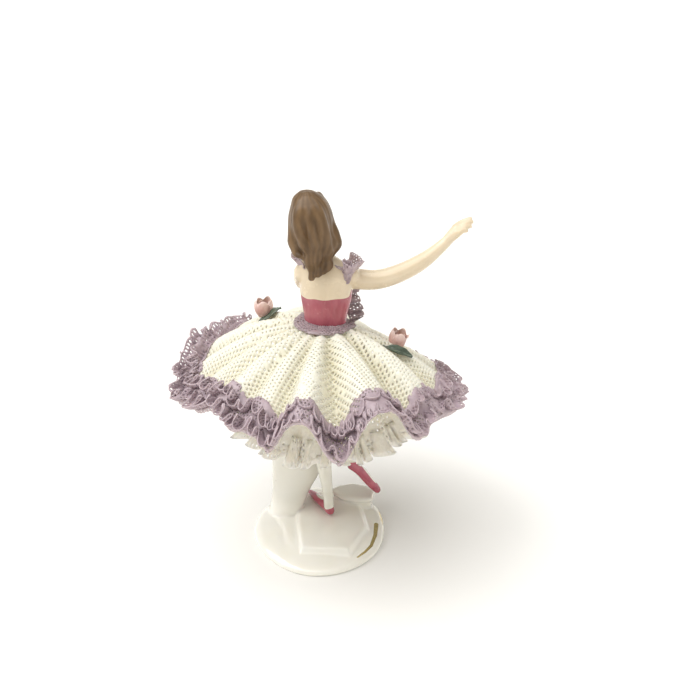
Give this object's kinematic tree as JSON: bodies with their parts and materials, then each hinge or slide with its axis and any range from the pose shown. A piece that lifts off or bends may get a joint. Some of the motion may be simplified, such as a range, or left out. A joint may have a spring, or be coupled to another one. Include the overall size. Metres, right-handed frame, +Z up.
{
  "type": "porcelain ballerina figurine",
  "caption": "Glazed porcelain dancer on a low round base with a stump, in a spread skirt of fired lace with a gathered hem and applied rosebuds.",
  "frame": {"origin": "centre of the base's underside", "axes": "+Z up, the dancer faces -Y, her outstretched right arm points to -X"},
  "size_m": [0.0941, 0.0951, 0.1194],
  "materials": {
    "base_glaze": "white gloss glaze with two fired gold strokes",
    "body_glaze": "gloss glaze over painted skin, brown hair, crimson bodice and slippers, white legs",
    "white_lace": "unglazed fired lace",
    "ivory_lace": "unglazed fired net",
    "lilac_lace": "tinted fired lace",
    "rose_pink": "satin painted",
    "leaf_green": "satin painted"
  },
  "bodies": {
    "root": {"base": "base_glaze", "figure": "body_glaze", "petticoat": "white_lace", "skirt_net": "ivory_lace", "hem_frill": "lilac_lace", "waist_band": "lilac_lace", "shoulder_frill_left": "lilac_lace", "shoulder_frill_right": "lilac_lace", "bodice_frill_left": "lilac_lace", "bodice_frill_right": "lilac_lace", "rosebud_left": "rose_pink", "rosebud_right": "rose_pink", "leaf_left": "leaf_green", "leaf_right": "leaf_green"}
  },
  "joints": []
}
